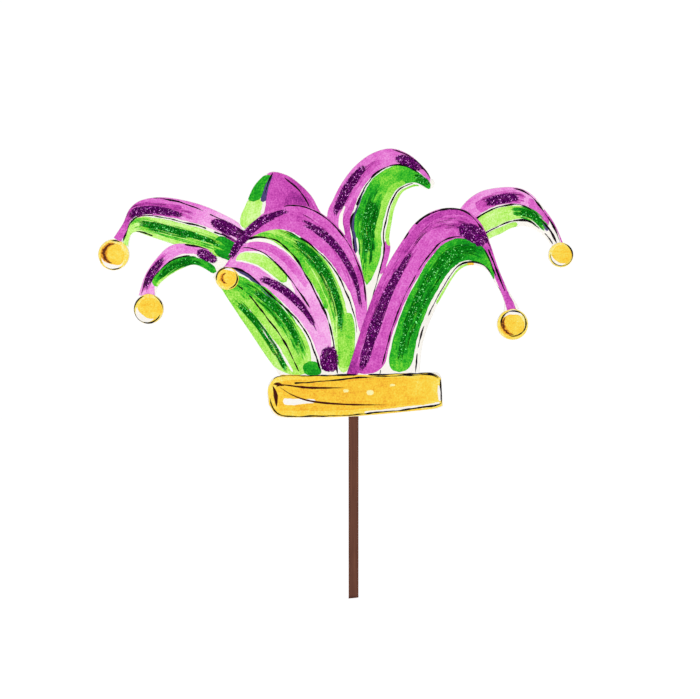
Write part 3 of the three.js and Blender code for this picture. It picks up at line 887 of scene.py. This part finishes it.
class Coat:
    """The patches of one paint, gathered into one mesh with each point's depth of colour and margin."""

    def __init__(self):
        self.points = []
        self.faces = []
        self.depth = []
        self.margin = []
        self.stroke = []
        self.count = 0

    def add(self, places, lifts, depth, margin, stroke, faces):
        """Adds points, given as x and z with how far each lies in front of the board, and their faces."""
        y = BOARD_FRONT - np.broadcast_to(lifts, len(places))
        self.points.append(np.column_stack([places[:, 0], y, places[:, 1]]) * MM)
        self.depth.append(np.broadcast_to(depth, len(places)))
        self.margin.append(np.broadcast_to(margin, len(places)))
        self.stroke.append(stroke * MM)
        corners = places[faces]
        ahead = np.roll(corners, -1, axis=1)
        area = (corners[..., 0] * ahead[..., 1] - ahead[..., 0] * corners[..., 1]).sum(axis=1)
        facing = np.where((area < 0)[:, None], faces[:, ::-1], faces)
        self.faces.extend((facing + self.count).tolist())
        self.count += len(places)

    def add_grid(self, grid, lifts, depth, margin, stroke):
        """Adds a patch of rows along a stroke and columns across it."""
        rows, columns = grid.shape[:2]
        index = np.arange(rows * columns).reshape(rows, columns)
        faces = np.stack([index[:-1, :-1], index[1:, :-1], index[1:, 1:], index[:-1, 1:]], axis=-1)
        flat = [np.broadcast_to(part, (rows, columns)).ravel() for part in (lifts, depth, margin)]
        self.add(grid.reshape(-1, 2), *flat, stroke.reshape(-1, 2), faces.reshape(-1, 4))

    def mesh(self, name):
        made = bpy.data.meshes.new(name)
        made.from_pydata(np.concatenate(self.points).tolist(), [], self.faces)
        for title, values in (("depth", self.depth), ("margin", self.margin)):
            attribute = made.attributes.new(title, "FLOAT", "POINT")
            attribute.data.foreach_set("value", np.concatenate(values).astype(np.float32))
        corner_points = np.empty(len(made.loops), np.int32)
        made.loops.foreach_get("vertex_index", corner_points)
        places = np.concatenate(self.stroke)[corner_points].astype(np.float32)
        made.uv_layers.new(name="stroke").data.foreach_set("uv", places.ravel())
        made.shade_smooth()
        return made


def lay_wash(coat, horn, start, end, outer, inner, depth, lift, seed):
    """A flat wash between two places across a horn, with an unsteady edge and rounded ends."""
    share = np.linspace(0, 1, WASH_SAMPLES)
    middle = (through(outer, share) + through(inner, share)) / 2
    length = lengths(on_horn(horn, start + (end - start) * share, middle))[-1]
    distance = np.linspace(0, length, max(FEWEST_ROWS, int(length / WASH_STEP)))
    share = distance / length
    along = start + (end - start) * share
    first = through(outer, share)
    last = through(inner, share)
    rails = smooth_curve(HORNS[horn], along)
    breadth = np.hypot(rails[:, 2] - rails[:, 0], rails[:, 3] - rails[:, 1])
    rounding = min(END_ROUNDING * np.median((last - first) * breadth), length / 3)
    from_start = np.clip(distance / rounding, 0, 1) if start > 0 else np.ones_like(distance)
    from_end = np.clip((length - distance) / rounding, 0, 1) if end < 1 else np.ones_like(distance)
    fullness = np.sqrt(1 - (1 - np.minimum(from_start, from_end)) ** 2)
    centre = (first + last) / 2
    half = (last - first) / 2 * fullness
    unsteady = [
        tremor(distance, EDGE_TREMOR, seed + side) + tremor(distance, EDGE_DRIFT, seed + side + 0.4)
        for side in (0.1, 0.6)
    ]
    at_edge = (first <= 0.0, last >= 1.0)
    first = np.where(at_edge[0] & (fullness >= 1), 0.0, centre - half + unsteady[0] / breadth)
    last = np.where(at_edge[1] & (fullness >= 1), 1.0, centre + half + unsteady[1] / breadth)
    first = np.clip(first, 0.0, 1.0)
    last = np.clip(np.maximum(last, first), 0.0, 1.0)
    across = first[:, None] + (last - first)[:, None] * WASH_COLUMNS
    grid = on_horn(horn, np.repeat(along[:, None], len(WASH_COLUMNS), axis=1), across)
    width = ((last - first) * breadth)[:, None]
    margin = np.minimum(WASH_COLUMNS, 1 - WASH_COLUMNS) * width
    margin = np.minimum(margin, np.minimum(distance, length - distance)[:, None] + END_MARGIN)
    offsets = (WASH_COLUMNS - 0.5) * width + seed * STREAK_SHIFT
    stroke = np.stack(np.broadcast_arrays(distance[:, None], offsets), axis=-1)
    coat.add_grid(grid, lift, through(depth, share)[:, None], margin, stroke)


def lay_round_wash(coat, x, z, radius, depth, lift, seed):
    """A round dab with an unsteady edge."""
    turns = np.linspace(0, 2 * np.pi, DAB_POINTS, endpoint=False)
    edge = radius * (1 + tremor(turns * radius, DAB_WOBBLE, seed) * np.sin(turns / 2))
    reach = edge[:, None] * DAB_RINGS
    places = np.stack([x + reach * np.cos(turns)[:, None], z + reach * np.sin(turns)[:, None]], axis=-1)
    margin = edge[:, None] - reach
    closed = [np.concatenate([part, part[:1]]) for part in (places, margin)]
    coat.add_grid(closed[0], lift, depth, closed[1], closed[0])
    index = np.arange(len(turns))
    middle = np.full(len(turns), len(turns))
    faces = np.stack([middle, index, np.roll(index, -1)], axis=1)
    fan = np.concatenate([places[:, 0], [[x, z]]])
    coat.add(fan, lift, depth, radius, fan, faces)


def lay_ribbon(coat, path, distance, half_width, lift, depth, seed):
    """A strip of paint along a path, with its depth of colour at each point and three places across."""
    offsets = half_width[:, None] * RIBBON_COLUMNS
    grid = path[:, None, :] + sideways(path)[:, None, :] * offsets[..., None]
    margin = half_width[:, None] - np.abs(offsets)
    stroke = np.stack(np.broadcast_arrays(distance[:, None], offsets + seed * STREAK_SHIFT), axis=-1)
    coat.add_grid(grid, lift, depth, margin, stroke)


def lay_line(coat, path, width, dryness, lift, seed):
    """A pen line that swells and thins, and runs out where the pen is dry."""
    path, distance = resample(path, PEN_STEP)
    to_end = np.minimum(distance, distance[-1] - distance)
    taper = np.sqrt(np.clip(to_end / PEN_TAPER, PEN_POINT, 1))
    wet = PEN_FLOW - PEN_FLOW * dryness - tremor(distance, PEN_GAPS, seed + 0.9)
    flow = np.clip(wet / PEN_FAILING, 0, 1)
    swell = 1 + tremor(distance, PEN_SWELL, seed + 0.2) + tremor(distance, PEN_SHAKE, seed + 0.5)
    half_width = width * PEN_WEIGHT / 2 * np.maximum(swell, PEN_THINNEST) * taper * np.sqrt(flow)
    path = path + sideways(path) * tremor(distance, PEN_WANDER, seed + 0.7)[:, None]
    depth = PEN_DEPTH + tremor(distance, PEN_SHADE, seed + 0.3)
    for part in unbroken(flow > DRY_PEN):
        lay_ribbon(coat, path[part], distance[part], half_width[part], lift, depth[part, None], seed)


def lay_crescent(coat, path, width, depth, edge_depth, lift, seed):
    """A brush mark that swells in the middle, comes to a point at both ends and may fade to its edges."""
    path, distance = resample(path, PEN_STEP)
    swell = np.sin(np.pi * distance / distance[-1]) * (1 + tremor(distance, BRUSH_SWELL, seed))
    across = np.array([[edge_depth, depth, edge_depth]])
    lay_ribbon(coat, path, distance, width / 2 * swell, lift, across, seed)


def lay_tracks(coat, horn, start, end, across, widths, lifts, depth, load, seed):
    """The tracks of a stiff brush side by side, ragged where the brush lands and leaves.

    A full load of 1 joins the tracks. With less, also below 0, they run thin, and break where they are dry.
    """
    hand = np.random.default_rng(seed)
    widest = max(widths)
    tracks = max(FEWEST_TRACKS, round(widest / TRACK_PITCH))
    share = np.linspace(0, 1, TRACK_SAMPLES)
    centre = on_horn(horn, start + (end - start) * share, across[0] + (across[1] - across[0]) * share)
    length = lengths(centre)[-1]
    left = sideways(centre)
    breadth = widths[0] + (widths[1] - widths[0]) * share
    run_out = min(TRACK_TAPER, 0.5 * length / widest)
    for track in range(tracks):
        side = (track + 0.5) / tracks * 2 - 1
        reach = (1 - math.cos(math.asin(side * side))) / 2
        ragged = np.minimum(np.abs(hand.normal(0, TRACK_RAGGED, 2)) / length, MOST_RAGGED)
        begin = min(reach + ragged[0], LATEST_START)
        stop = max(1 - reach - ragged[1], 1 - LATEST_START)
        steps = np.linspace(begin, stop, TRACK_STEPS)
        line = centre + left * (side * breadth / 2)[:, None]
        path = np.stack([np.interp(steps, share, line[:, axis]) for axis in (0, 1)], axis=1)
        squeeze = np.interp(steps, share, breadth / widest)
        path, distance = resample(path, TRACK_STEP)
        squeeze = np.interp(np.linspace(0, 1, len(distance)), np.linspace(0, 1, len(squeeze)), squeeze)
        to_end = np.minimum(distance, distance[-1] - distance)
        taper = np.clip(to_end / run_out, TRACK_TIP, 1) ** TRACK_BLUNTNESS * squeeze
        held = load + (1 - load) * hand.random() * LOAD_SPREAD
        wet = np.clip(held + tremor(distance, TRACK_PATCHES, seed + track * 0.71), 0, 1)
        swell = 1 + tremor(distance, TRACK_SWELL, seed + track * 0.17)
        half_width = TRACK_PITCH * TRACK_HALF * wet * taper * swell
        path = path + sideways(path) * tremor(distance, TRACK_WANDER, seed + track * 0.31)[:, None]
        offsets = half_width[:, None] * RIBBON_COLUMNS
        grid = path[:, None, :] + sideways(path)[:, None, :] * offsets[..., None]
        heights = np.where(RIBBON_COLUMNS == 0, lifts[1], lifts[0])
        deep = depth + tremor(distance, TRACK_SHADE, seed + track * 0.53)[:, None]
        stroke = np.stack(np.broadcast_arrays(distance[:, None], offsets + side * widest), axis=-1)
        for part in unbroken(wet > DRY_TRACK):
            coat.add_grid(grid[part], heights, deep[part], 1.0, stroke[part])


# Glitter flakes


def flake_tree():
    """Scatters six-sided flakes over a coat, each turned, tilted and shaded by chance."""
    tree = bpy.data.node_groups.new("glitter_flakes", "GeometryNodeTree")
    sockets = [
        ("Coat", "NodeSocketGeometry"),
        ("Flakes per square metre", "NodeSocketFloat"),
        ("Flake radius", "NodeSocketFloat"),
        ("Tilt", "NodeSocketFloat"),
        ("Seed", "NodeSocketInt"),
        ("Finish", "NodeSocketMaterial"),
    ]
    for name, kind in sockets:
        tree.interface.new_socket(name, in_out="INPUT", socket_type=kind)
    tree.interface.new_socket("Flakes", in_out="OUTPUT", socket_type="NodeSocketGeometry")
    entry = tree.nodes.new("NodeGroupInput")
    given = {name: Value(tree, entry.outputs[name]) for name, kind in sockets}
    start = Value(tree)
    scatter = start.node(
        "GeometryNodeDistributePointsOnFaces",
        {"distribute_method": "RANDOM"},
        {"Mesh": given["Coat"], "Density": given["Flakes per square metre"], "Seed": given["Seed"]},
    )
    facing = Value(tree, scatter.socket.node.outputs["Rotation"])
    outline = {"Vertices": FLAKE_SIDES, "Radius": given["Flake radius"]}
    flake = start.node("GeometryNodeMeshCircle", {"fill_type": "NGON"}, outline)
    tilt = given["Tilt"]
    lowest = start.node("ShaderNodeCombineXYZ", {}, {0: 0 - tilt, 1: 0 - tilt, 2: 0.0})
    highest = start.node("ShaderNodeCombineXYZ", {}, {0: tilt, 1: tilt, 2: math.pi})
    # A Random Value node has its least and most at inputs 0 and 1 for vectors, 2 and 3 for numbers, and its
    # seed at input 8.
    turn = start.node(
        "FunctionNodeRandomValue", {"data_type": "FLOAT_VECTOR"}, {0: lowest, 1: highest, 8: given["Seed"]}
    )
    number = {"data_type": "FLOAT"}
    least, most = FLAKE_SIZES
    shade = start.node("FunctionNodeRandomValue", number, {2: 0.0, 3: 1.0, 8: 23}, 1)
    spread = start.node("FunctionNodeRandomValue", number, {2: least, 3: most, 8: 11}, 1)
    size = spread + shade**8.0 * BRIGHT_GAIN
    spin = start.node("FunctionNodeEulerToRotation", {}, {0: turn})
    placed = start.node(
        "FunctionNodeRotateRotation", {"rotation_space": "LOCAL"}, {"Rotation": facing, "Rotate By": spin}
    )
    flakes = start.node(
        "GeometryNodeInstanceOnPoints",
        {},
        {"Points": scatter, "Instance": flake, "Rotation": placed, "Scale": size},
    )
    shaded = start.node(
        "GeometryNodeStoreNamedAttribute",
        {"data_type": "FLOAT", "domain": "INSTANCE"},
        {"Geometry": flakes, "Name": "shade", "Value": shade},
    )
    plain = start.node("GeometryNodeRealizeInstances", {}, {"Geometry": shaded})
    finished = start.node("GeometryNodeSetMaterial", {}, {"Geometry": plain, "Material": given["Finish"]})
    leave = tree.nodes.new("NodeGroupOutput")
    finished.feed(leave.inputs["Flakes"])
    return tree


def scatter_flakes(name, coat_mesh, tree, seed, finish):
    """A plain mesh of flakes over a coat."""
    piece = link_piece(name, coat_mesh.copy())
    modifier = piece.modifiers.new("flakes", "NODES")
    modifier.node_group = tree
    values = {
        "Flakes per square metre": FLAKES_PER_MM2 / MM**2,
        "Flake radius": FLAKE_RADIUS * MM,
        "Tilt": FLAKE_TILT,
        "Seed": seed,
        "Finish": finish,
    }
    for item in tree.interface.items_tree:
        if item.in_out == "INPUT" and item.name in values:
            modifier[item.identifier] = values[item.name]
    graph = bpy.context.evaluated_depsgraph_get()
    flakes = bpy.data.meshes.new_from_object(piece.evaluated_get(graph))
    piece.modifiers.clear()
    piece.data = flakes
    return piece


# Pieces


def link_piece(name, data):
    """An object in the scene for a mesh, lamp or lens."""
    piece = bpy.data.objects.new(name, data)
    bpy.context.scene.collection.objects.link(piece)
    return piece


def settle(piece, slot, *nodes):
    """Fixes a piece to the sign and hides the solids that it stands for. Its slot is not used."""
    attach(piece, "root")
    if nodes:
        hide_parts(*nodes)
    return piece


def is_flat(face):
    """Whether a face of the board belongs to its front or back."""
    return abs(face.normal.y) > 0.99


def cut_board(finish):
    """The cut board with a flat front and back and its edges eased."""
    shape = bmesh.new()
    shape.from_mesh(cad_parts["hat_board"].data)
    bmesh.ops.remove_doubles(shape, verts=shape.verts, dist=EDGE_MERGE * MM)
    bmesh.ops.dissolve_limit(shape, angle_limit=SAME_PLANE, verts=shape.verts, edges=shape.edges)
    shape.normal_update()
    rim = [edge for edge in shape.edges if sum(is_flat(face) for face in edge.link_faces) == 1]
    offset = EDGE_EASE * MM
    bmesh.ops.bevel(shape, geom=rim, offset=offset, segments=EASE_STEPS, profile=0.5, affect="EDGES")
    bmesh.ops.triangulate(shape, faces=[face for face in shape.faces if len(face.verts) > 4])
    shape.normal_update()
    for face in shape.faces:
        face.smooth = not is_flat(face)
    mesh = bpy.data.meshes.new("painted_board")
    shape.to_mesh(mesh)
    shape.free()
    mesh.set_sharp_from_angle(angle=SHARP_CORNER)
    mesh.materials.append(finish)
    return settle(link_piece("painted_board", mesh), "board_white", "hat_board")


def trim_to_board(mesh, board):
    """Draws in the points of a coat that reach beyond the board's flat front, and joins those that meet."""
    points = [vertex.co for vertex in board.data.vertices]
    front = [face.vertices for face in board.data.polygons if is_flat(face) and face.normal.y < 0]
    picture_side = BVHTree.FromPolygons(points, front)
    coat = bmesh.new()
    coat.from_mesh(mesh)
    for vertex in coat.verts:
        nearest = picture_side.find_nearest(vertex.co)[0]
        vertex.co = (nearest.x, vertex.co.y, nearest.z)
    bmesh.ops.remove_doubles(coat, verts=coat.verts, dist=PAINT_MERGE * MM)
    bmesh.ops.dissolve_degenerate(coat, edges=coat.edges, dist=PAINT_MERGE * MM)
    coat.to_mesh(mesh)
    coat.free()


def paint_picture(board, board_white):
    """Every wash, pen line and bell mark, laid from the back of the picture to the front."""
    coats = {paint: Coat() for paint in PAINTS}
    lift = COAT_STEP
    seed = 1.0
    for horn, washes, lines in PAINTING:
        for paint, start, end, outer, inner, depth in washes:
            lay_wash(coats[paint], horn, start, end, outer, inner, depth, lift, seed)
            lift += COAT_STEP
            seed += 1
        for brushed, paint, start, end, *across, width, depth in DRY_STROKES:
            if brushed == horn:
                widths = (width, width)
                lifts = (lift, lift)
                lay_tracks(coats[paint], horn, start, end, across, widths, lifts, depth, DRY_LOAD, int(seed))
                lift += COAT_STEP
                seed += 1
        for ink, width, dryness, points in lines:
            along, across = smooth_curve(points, np.linspace(0, 1, LINE_SAMPLES)).T
            path = on_horn(horn, along, across)
            if ink == "brown":
                lay_crescent(coats[ink], path, width, *BAND_BRUSH, lift, seed)
            else:
                lay_line(coats[ink], path, width, dryness, lift, seed)
            lift += COAT_STEP / 4
            seed += 1
    lift += COAT_STEP
    for x, z, radius in BELLS.values():
        share, depth = BELL_PALE
        lay_round_wash(coats["gold"], x, z, radius * share, depth, lift, seed)
        share, depth = BELL_DAB
        turn = BELL_TURN * seed
        dab_x = x + radius * BELL_ASIDE * math.cos(turn)
        dab_z = z + radius * BELL_ASIDE * math.sin(turn)
        lay_round_wash(coats["gold"], dab_x, dab_z, radius * share, depth, lift + COAT_STEP, seed + 0.5)
        seed += 1
    lift += COAT_STEP * 2
    for bell, paint, width, radius, right, up, begin, stop in BELL_MARKS:
        x, z, size = BELLS[bell]
        turns = np.radians(np.linspace(begin, stop, MARK_SAMPLES))
        path = np.stack([np.cos(turns), np.sin(turns)], axis=1) * radius * size
        path += (x + right * size, z + up * size)
        if paint == "black":
            lay_line(coats[paint], path, width * size, BELL_DRYNESS, lift, seed)
        else:
            lay_crescent(coats[paint], path, width * size, *BELL_BRUSH, lift, seed)
        lift += COAT_STEP
        seed += 1
    for paint, (name, slot) in PAINTS.items():
        mesh = coats[paint].mesh(name)
        trim_to_board(mesh, board)
        if paint == "white":
            finish = board_white
        elif paint in ("black", "brown"):
            finish = ink_finish(paint)
        else:
            finish = wash_finish(paint)
        mesh.materials.append(finish)
        settle(link_piece(name, mesh), slot)


def raise_glitter():
    """Both colours of glitter: the ridged coat and the flakes on it."""
    tree = flake_tree()
    counts = {}
    for colour, load in GLITTER_LOAD.items():
        coat = Coat()
        nodes = []
        for number, (horn, shade, start, end, first, last, *widths) in enumerate(GLITTER_STROKES):
            if shade == colour:
                counts[horn, shade] = counts.get((horn, shade), 0) + 1
                nodes.append(f"{horn}_{shade}_glitter_{counts[horn, shade]}")
                stretch_of_horn = (horn, start, end, (first, last), widths)
                lay_tracks(coat, *stretch_of_horn, COAT_HEIGHTS, COAT_DEPTH, load, number + 1)
        name = colour + "_glitter_coat"
        mesh = coat.mesh(name)
        piece = link_piece(name, mesh)
        flakes = scatter_flakes(colour + "_glitter_flakes", mesh, tree, len(colour), flake_finish(colour))
        mesh.materials.append(glitter_coat_finish(colour))
        settle(piece, colour + "_glitter", *nodes)
        settle(flakes, colour + "_glitter")


# Studio


def soft_light(name, place, size, power):
    """A square soft box that points at the middle of the board."""
    lamp = bpy.data.lights.new(name, "AREA")
    lamp.size = size
    lamp.energy = power
    light = link_piece(name, lamp)
    light.location = place
    aim = Vector(LIT_PLACE) - Vector(place)
    light.rotation_euler = aim.to_track_quat("-Z", "Y").to_euler()


def set_up_studio():
    """White floor, white surroundings, two soft boxes and a camera square to the picture."""
    scene = bpy.context.scene
    scene.view_settings.view_transform = "Standard"
    floor_mesh = bpy.data.meshes.new("floor")
    turns = np.linspace(0, 2 * np.pi, FLOOR_SIDES, endpoint=False)
    rim = [(FLOOR_RADIUS * math.cos(turn), FLOOR_RADIUS * math.sin(turn), cad_box[0].z) for turn in turns]
    floor_mesh.from_pydata(rim, [], [list(range(FLOOR_SIDES))])
    floor_mesh.materials.append(floor_finish())
    floor = link_piece("floor", floor_mesh)

    world = bpy.data.worlds.new("studio")
    world.use_nodes = True
    scene.world = world
    tree = world.node_tree
    start = Value(tree)
    seen = start.node("ShaderNodeLightPath", output="Is Camera Ray")
    background = tree.nodes["Background"]
    background.inputs["Color"].default_value = (1, 1, 1, 1)
    (SURROUNDINGS + seen * BACKDROP).feed(background.inputs["Strength"])

    soft_light("key_light", *KEY_LIGHT)
    soft_light("fill_light", *FILL_LIGHT)

    lens = bpy.data.cameras.new("camera")
    lens.lens = LENS
    lens.sensor_width = SENSOR
    camera = link_piece("camera", lens)
    distance = VIEW_WIDTH * LENS / SENSOR
    camera.location = (VIEW_MIDDLE[0], BOARD_FRONT * MM - distance, VIEW_MIDDLE[1])
    camera.rotation_euler = (math.pi / 2, 0, 0)
    scene.camera = camera


white = board_finish()
paint_picture(cut_board(white), white)
raise_glitter()
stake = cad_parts["stake"]
stake.data.materials.clear()
stake.data.materials.append(stake_finish())
set_up_studio()
